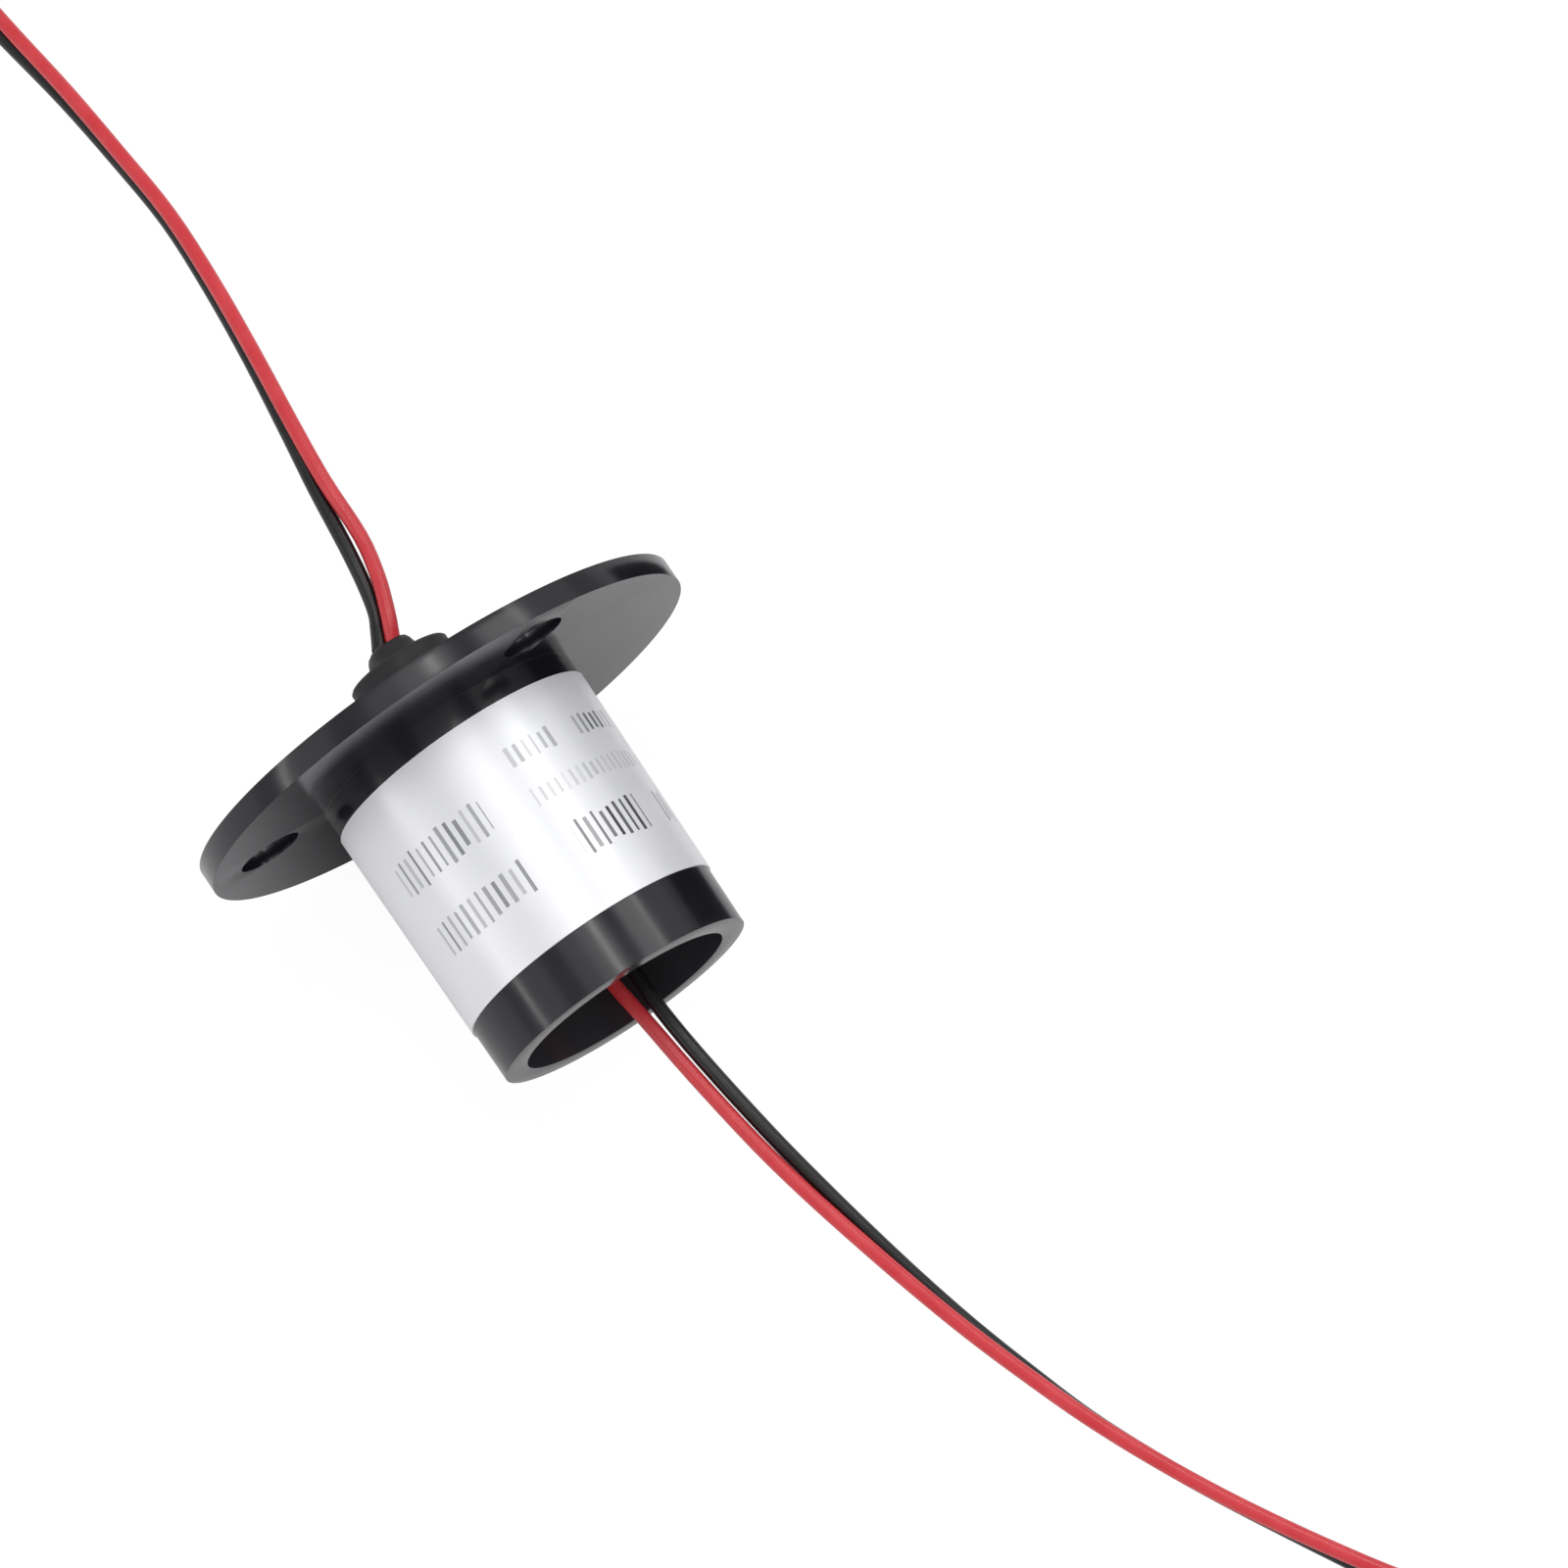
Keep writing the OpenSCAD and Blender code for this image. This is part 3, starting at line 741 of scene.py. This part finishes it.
tree = housing_black.node_tree
shader = tree.nodes["Principled BSDF"]
where = add(tree, "ShaderNodeTexCoord").outputs["Object"]
across = add(tree, "ShaderNodeVectorMath", {0: where, 1: (0, 1, 1)}, operation="MULTIPLY")
from_axis = add(tree, "ShaderNodeVectorMath", {0: across}, operation="LENGTH")
narrow = add(tree, "ShaderNodeMath", {0: from_axis, 1: bore_edge * mm}, operation="LESS_THAN")
along = add(tree, "ShaderNodeSeparateXYZ", {"Vector": where}).outputs["X"]
behind = add(tree, "ShaderNodeMath", {0: along, 1: bore_start * mm}, operation="GREATER_THAN")
inside = add(tree, "ShaderNodeMath", {0: narrow, 1: behind}, operation="MULTIPLY")
# Painted light: inside the bore the black is mixed towards a lighter grey, for light that reaches in.
tones = {"Factor": inside, "A": shader.inputs["Base Color"].links[0].from_socket, "B": colour("#353538")}
fill(tree, shader, {"Base Color": add(tree, "ShaderNodeMix", tones, data_type="RGBA")})
print("masked inside of the barrel below", bore_edge, "mm from the axis")

# %% [markdown]
# ### Metals
#
# Bearing steel is ground, and gold-plated rings are turned, so both carry very fine rings round the axis. A wave
# texture in rings about X gives them. It makes one ring every pi/10 of its own length, so the scale is that length
# over the real one. Brass, solder and tinned copper have no direction to their finish and use the common recipe.

# %% Metals


def turned_metal(name, code, roughness, ring, spread=0.06):
    """A metal with fine tool rings round X, that many mm apart. The roughness varies by spread to either side."""
    material, tree, shader, where = start_material(name, roughness, metallic=1.0)
    waves = {"Vector": where, "Scale": math.pi / 10 / (ring * mm), "Distortion": 1.5}
    waves.update({"Detail": 2.0, "Detail Scale": 2.0})
    rings = add(tree, "ShaderNodeTexWave", waves, wave_type="RINGS", rings_direction="X").outputs["Fac"]
    gloss = {
        "Value": rings, "From Min": noise_low, "From Max": noise_high,
        "To Min": roughness - spread, "To Max": roughness + spread,
    }
    fill(tree, shader, {
        "Base Color": colour(code),
        "Roughness": add(tree, "ShaderNodeMapRange", gloss),
        "Normal": add(tree, "ShaderNodeBump", {"Height": rings, "Strength": 1.0, "Distance": 0.001 * mm}),
    })
    return material


# The rings are drawn wider apart than real grinding marks, which are too fine to show
bearing_steel = turned_metal("ground_bearing_steel", "#c4c6ca", 0.24, 0.2369)
gold_plate = turned_metal("gold_plated_brass", "#dba83e", 0.2, 0.2961)
# Steel, lapped to a ball: almost a mirror
ball_steel = surface("polished_steel", "#c9cbd0", "#d0d2d6", 0.12, 0.04, 0.3, 0.0005, metallic=1.0)
# Brass, pressed from sheet: warm, with a worn half gloss
cage_brass = surface("pressed_brass", "#b08b50", "#bd9a5f", 0.34, 0.08, 0.5, 0.003, metallic=1.0)
# Gold alloy, drawn to a wire: bright and smooth
brush_gold = surface("gold_alloy_wire", "#d8b45c", "#e0c070", 0.22, 0.05, 0.3, 0.001, metallic=1.0)
# Tin over copper, and the solder of the joints: pale, a little cloudy, with small runs
tinned = surface("tinned_copper", "#c3c2bc", "#d2d1cc", 0.32, 0.08, 0.25, 0.003, metallic=1.0)
# Solder mask, cured lacquer on the board: an even green half gloss
board_green = surface("green_solder_mask", "#1d5a34", "#246640", 0.35, 0.06, 0.7, 0.003)
print("metals:", bearing_steel.name, gold_plate.name, tinned.name)

# %% [markdown]
# ### The label's film and its bars
#
# The film is white plastic with a thin metal layer: half mirror and half paint, with a satin finish. Real labels of
# this kind carry small print in rows. This one carries rows of plain bars in the same grey ink.
#
# The rows are drawn by numbers. One number is the place along the axis, the other is the distance round the barrel.
# The distance is cut into equal cells, and each cell gets a random colour. Its three numbers set how wide, how tall
# and how dark the cell's bar is. The Compare operation gives 1 within a distance of a number and 0 beyond it.

# %% Label film
label_film, tree, shader, where = start_material("silver_label_film", 0.36, metallic=0.3)
split = add(tree, "ShaderNodeSeparateXYZ", {"Vector": where}).outputs
along = add(tree, "ShaderNodeMath", {0: split["X"], 1: 1000.0}, operation="MULTIPLY")
turn = add(tree, "ShaderNodeMath", {0: split["Y"], 1: split["Z"]}, operation="ARCTAN2")
around = add(tree, "ShaderNodeMath", {0: turn, 1: barrel_root_radius}, operation="MULTIPLY")
first_cell = 50.0  # keeps the numbers of the cells above zero
seed_step = 100.0


def bars(low, high, start, end, pitch, seed, ink):
    """One row of bars: from low to high along the axis and from start to end round the barrel, in mm."""
    cell = add(tree, "ShaderNodeMath", {0: around, 1: 1 / pitch, 2: first_cell}, operation="MULTIPLY_ADD")
    number = add(tree, "ShaderNodeMath", {0: cell}, operation="FLOOR")
    draw = add(tree, "ShaderNodeMath", {0: number, 1: seed * seed_step}, operation="ADD")
    chance = add(tree, "ShaderNodeTexWhiteNoise", {"W": draw}, noise_dimensions="1D").outputs["Color"]
    red, green, blue = add(tree, "ShaderNodeSeparateColor", {"Color": chance}).outputs
    height = high - low
    width = add(tree, "ShaderNodeMath", {0: red, 1: 0.14, 2: 0.12}, operation="MULTIPLY_ADD")
    reach = add(tree, "ShaderNodeMath", {0: green, 1: height * 0.16, 2: height * 0.34}, operation="MULTIPLY_ADD")
    tone = add(tree, "ShaderNodeMath", {0: blue, 1: 0.6, 2: 0.4}, operation="MULTIPLY_ADD")
    in_cell = add(tree, "ShaderNodeMath", {0: cell}, operation="FRACT")
    bar = add(tree, "ShaderNodeMath", {0: in_cell, 1: 0.5, 2: width}, operation="COMPARE")
    row = add(tree, "ShaderNodeMath", {0: along, 1: (low + high) / 2, 2: reach}, operation="COMPARE")
    run = add(tree, "ShaderNodeMath", {0: around, 1: (start + end) / 2, 2: (end - start) / 2}, operation="COMPARE")
    mark = add(tree, "ShaderNodeMath", {0: tone, 1: ink}, operation="MULTIPLY")
    for mask in (bar, row, run):
        mark = add(tree, "ShaderNodeMath", {0: mark, 1: mask}, operation="MULTIPLY")
    print("bars from", start, "to", end, "mm round the barrel")
    return mark


# Low, high, start, end and pitch in mm, then the seed and how dark the ink is
rows = [
    bars(3.05, 4.15, 0.9, 3.4, 0.44, 1, 0.5),
    bars(3.05, 4.15, 4.7, 8.1, 0.44, 2, 0.85),
    bars(4.2, 6.1, -6.8, -1.2, 0.46, 3, 0.75),
    bars(5.25, 6.2, 0.9, 7.9, 0.42, 4, 0.3),
    bars(7.5, 9.3, -6.6, -0.9, 0.48, 5, 0.8),
    bars(7.4, 9.2, 1.6, 5.6, 0.44, 6, 1.0),
    bars(7.4, 9.2, 7.2, 8.4, 0.4, 7, 0.8),
]
printed = rows[0]
for row in rows[1:]:
    printed = add(tree, "ShaderNodeMath", {0: printed, 1: row}, operation="MAXIMUM")

# %% [markdown]
# The film itself is nearly even. Faint patches of a few millimetres, where it was pressed on, change its tone and its
# gloss a little, and a fine grain keeps its reflections soft. The ink is then mixed over the film where a bar is.

# %% Label colour and gloss
patches = add(tree, "ShaderNodeTexNoise", {"Vector": where, "Scale": 1000 / 2.5, "Detail": 3.0})
grain = add(tree, "ShaderNodeTexNoise", {"Vector": where, "Scale": 1000 / 0.4, "Detail": 2.0})
tones = {"Factor": patches, "A": colour("#f2f3f5"), "B": colour("#f8f8f9")}
film = add(tree, "ShaderNodeMix", tones, data_type="RGBA")
inks = {"Factor": printed, "A": film, "B": colour("#3a3b3f")}
gloss = {"Value": patches, "From Min": noise_low, "From Max": noise_high, "To Min": 0.34, "To Max": 0.42}
fill(tree, shader, {
    "Base Color": add(tree, "ShaderNodeMix", inks, data_type="RGBA"),
    "Roughness": add(tree, "ShaderNodeMapRange", gloss),
    "Normal": add(tree, "ShaderNodeBump", {"Height": grain, "Strength": 1.0, "Distance": 0.0015 * mm}),
})
print("label nodes:", len(tree.nodes))

# %% [markdown]
# ## Put everything together
#
# Each new piece gets its material, rides on the body that it belongs to, and stands for the plain CAD solid that it
# replaces. The leads of the rotor are left without a body here, because they bend between two.

# %% Dress the new pieces


def dress(piece, material, slot, body, *nodes):
    """Material, record slot (not used), body and the CAD nodes that the piece stands for.
    Without a body it is not attached.
    """
    piece.data.materials.clear()
    piece.data.materials.append(material)
    if body:
        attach(piece, body)
    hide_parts(*nodes)


dress(housing, housing_black, "black_housing", "stator", "housing")
dress(label, label_film, "silver_label", "stator", "label")
dress(end_resin, resin_black, "potting", "stator", "stator_end_potting")
dress(hub_resin, resin_black, "potting", "rotor", "hub_potting")
for name in entries:
    end, tone = name.split("_")
    material = lead_red if tone == "red" else lead_black
    body = "stator" if end == "stator" else None
    dress(leads[name], material, "insulation_" + tone, body, f"{end}_lead_{tone}", f"{end}_coil_{tone}")
    dress(tips[name], tinned, "tinned_copper", "stator", f"{end}_tip_{tone}")
    dress(ties[name], tie_white, "tie_plastic", "stator", f"{end}_tie_{tone}")
print("dressed", 4 + 3 * len(entries), "pieces")

# %% [markdown]
# The rotor's leads leave the turning hub and lie on the table, so their first 15 mm twist with the hub and the
# rest stays where it is. Here their places are written into their meshes.

# %% Cords
for name in ("rotor_red", "rotor_black"):
    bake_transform(leads[name])
print("cords:", list(lead_lines))

# %% [markdown]
# The rest of the slip ring is inside: two bearings, two gold rings with ivory barriers between them, the brushes on
# their board, and the wires to them. A CAD node whose shape is already right keeps its mesh and only gets a better
# material, so a table of node and finish is all that it takes.

# %% Finish the CAD nodes
finishes = {
    "front_bearing_outer_ring": bearing_steel, "rear_bearing_outer_ring": bearing_steel,
    "front_bearing_inner_ring": bearing_steel, "rear_bearing_inner_ring": bearing_steel,
    "stack_lock_ring": bearing_steel, "front_retaining_clip": bearing_steel,
    "front_bearing_balls": ball_steel, "rear_bearing_balls": ball_steel,
    "front_bearing_cage": cage_brass, "rear_bearing_cage": cage_brass,
    "ring_track_1": gold_plate, "ring_track_2": gold_plate,
    "brush_pair_1": brush_gold, "brush_pair_2": brush_gold,
    "barrier_front": barrier_ivory, "barrier_middle": barrier_ivory, "barrier_rear": barrier_ivory,
    "brush_board": board_green, "stator_solder_joints": tinned, "ring_terminals": tinned,
    "rotor_spindle": hub_black, "rear_bearing_carrier": hub_black,
    "rotor_lead_red_inner": lead_red, "rotor_lead_black_inner": lead_black,
    "stator_lead_red_inner": lead_red, "stator_lead_black_inner": lead_black,
}
for node, material in finishes.items():
    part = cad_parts[node]
    part.data.materials.clear()
    part.data.materials.append(material)
print("finished", len(finishes), "nodes of", len(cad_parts))

# %% [markdown]
# ## Floor, backdrop and light
#
# The table is plain white. A white floor that is bright enough to look white would light the object far too much from
# below, so the camera is shown a nearly white floor that still holds a faint shadow, while the light that bounces off
# it is that of ordinary pale board. It lies a hair below the object, so that no face shares its place with it.

# %% Floor
floor_gap = 0.02
glow_share = 0.85

bpy.ops.object.select_all(action="DESELECT")
bpy.ops.mesh.primitive_plane_add(size=3, location=(0, 0, (floor_z - floor_gap) * mm))
floor = bpy.context.object
floor.name = "floor"
floor_white = bpy.data.materials.new("floor_white")
floor_white.use_nodes = True
tree = floor_white.node_tree
tree.nodes.clear()
board = add(tree, "ShaderNodeBsdfDiffuse", {"Color": colour("#f0f0f0")})
glow = add(tree, "ShaderNodeEmission", {"Color": colour("#ffffff"), "Strength": 1.08})
seen = add(tree, "ShaderNodeLightPath").outputs["Is Camera Ray"]
share = add(tree, "ShaderNodeMath", {0: seen, 1: glow_share}, operation="MULTIPLY")
mix = add(tree, "ShaderNodeMixShader", {"Fac": share, 1: board, 2: glow})
add(tree, "ShaderNodeOutputMaterial", {"Surface": mix})
floor.data.materials.append(floor_white)
print("floor at", round(floor.location.z / mm, 2), "mm")

# %% [markdown]
# Two dull cards are seen only by reflections. The grey one stands in for a thing that a real room would hold: it
# stands beyond the right side of the barrel, and gives the right edge of the shiny label a darker tone. The other one
# is a painted shadow of the barrel on the table: it lies under the barrel, dark below it and as light as the table at
# its left edge. The face of the flange beside the barrel mirrors it, so that face darkens towards the barrel.

# %% Cards
near_edge, far_edge = 0.14, -0.5  # where the tone starts and ends, on a card that is 1 across


def card(name, size, at, tilt, near, far):
    """A dull card of that size in mm, turned about X, that only reflections see. Its tone runs from near to far."""
    bpy.ops.object.select_all(action="DESELECT")
    bpy.ops.mesh.primitive_plane_add(size=1, location=Vector(at) * mm, rotation=(math.radians(tilt), 0, 0))
    made = bpy.context.object
    made.name = name
    made.dimensions = (size[0] * mm, size[1] * mm, 0)
    made.visible_camera = made.visible_diffuse = made.visible_shadow = False
    paper, tree, shader, where = start_material(name, 0.9)
    along = add(tree, "ShaderNodeSeparateXYZ", {"Vector": where}).outputs["Y"]
    ramp = add(tree, "ShaderNodeMapRange", {"Value": along, "From Min": near_edge, "From Max": far_edge})
    tones = {"Factor": ramp, "A": colour(near), "B": colour(far)}
    fill(tree, shader, {"Base Color": add(tree, "ShaderNodeMix", tones, data_type="RGBA")})
    made.data.materials.append(paper)


card("card_grey", (16, 18), (4, 21, -3), 90, "#3a3a3a", "#3a3a3a")
# A painted shadow: the barrel's shade on the table, as a card that only reflections see.
card("card_painted_shadow", (9, 10), (4, -6, floor_z + 0.1), 0, "#5a5a5a", "#f0f0f0")

# %% [markdown]
# The world is the light of the whole room: even, bright and slightly blue, which softens every shadow. The camera sees
# plain white in its place.

# %% World
world = bpy.data.worlds.new("studio")
bpy.context.scene.world = world
world.use_nodes = True
tree = world.node_tree
tree.nodes.clear()
room = add(tree, "ShaderNodeBackground", {"Color": colour("#f6f6fa"), "Strength": 0.55})
white = add(tree, "ShaderNodeBackground", {"Color": colour("#ffffff"), "Strength": 1.0})
seen = add(tree, "ShaderNodeLightPath").outputs["Is Camera Ray"]
mix = add(tree, "ShaderNodeMixShader", {"Fac": seen, 1: room, 2: white})
add(tree, "ShaderNodeOutputWorld", {"Surface": mix})
print("world ready")

# %% [markdown]
# A lamp shows up in a glossy cylinder where the surface points halfway between the lamp and the camera. Three narrow
# lamps draw the thin light streaks along the barrel, and a wider one puts a soft band beside them. Three large soft
# lamps fill in from above and from both sides. One stronger lamp from the right gives the rims their light, and a weak
# one in front of the open end lights the table on that side of the flange.

# %% Lamps
aim = Vector((7, 0, 0)) * mm


def lamp(name, way, distance, size, watts):
    """A rectangular lamp in that direction from the barrel, facing it. size is along X and across it, in metres."""
    bpy.ops.object.select_all(action="DESELECT")
    place = aim + Vector(way).normalized() * distance
    bpy.ops.object.light_add(type="AREA", location=place)
    made = bpy.context.object
    made.name = name
    made.data.shape = "RECTANGLE"
    made.data.size, made.data.size_y = size
    made.data.energy = watts
    back = (place - aim).normalized()
    side = (Vector((1, 0, 0)) - back * back.x).normalized()
    made.rotation_euler = Matrix((side, back.cross(side), back)).transposed().to_euler()


lamp("strip_top", (-0.188, 0.09, 0.974), 0.5, (0.2, 0.03), 0.13)
lamp("strip_right", (-0.188, 0.722, 0.667), 0.5, (0.3, 0.02), 0.11)
lamp("strip_left", (-0.188, -0.938, 0.293), 0.5, (0.3, 0.02), 0.12)
lamp("middle_top", (-0.188, 0.02, 0.974), 0.5, (0.3, 0.2), 0.12)
lamp("soft_top", (-0.1, -0.1, 1), 0.9, (0.7, 0.7), 1.0)
lamp("soft_left", (-0.1, -0.9, 0.5), 0.9, (0.7, 0.5), 0.55)
lamp("soft_right", (-0.1, 0.9, 0.5), 0.9, (0.7, 0.5), 0.4)
lamp("key_right", (-0.1, 0.6, 0.8), 0.9, (0.5, 0.3), 0.95)
lamp("soft_front", (0.9, 0.2, 0.45), 0.9, (0.5, 0.5), 0.9)

# %% [markdown]
# ## Last settings
#
# The picture is shown with the Standard view, so a colour comes out as it was written.

# %% Finish
bpy.context.scene.view_settings.view_transform = "Standard"
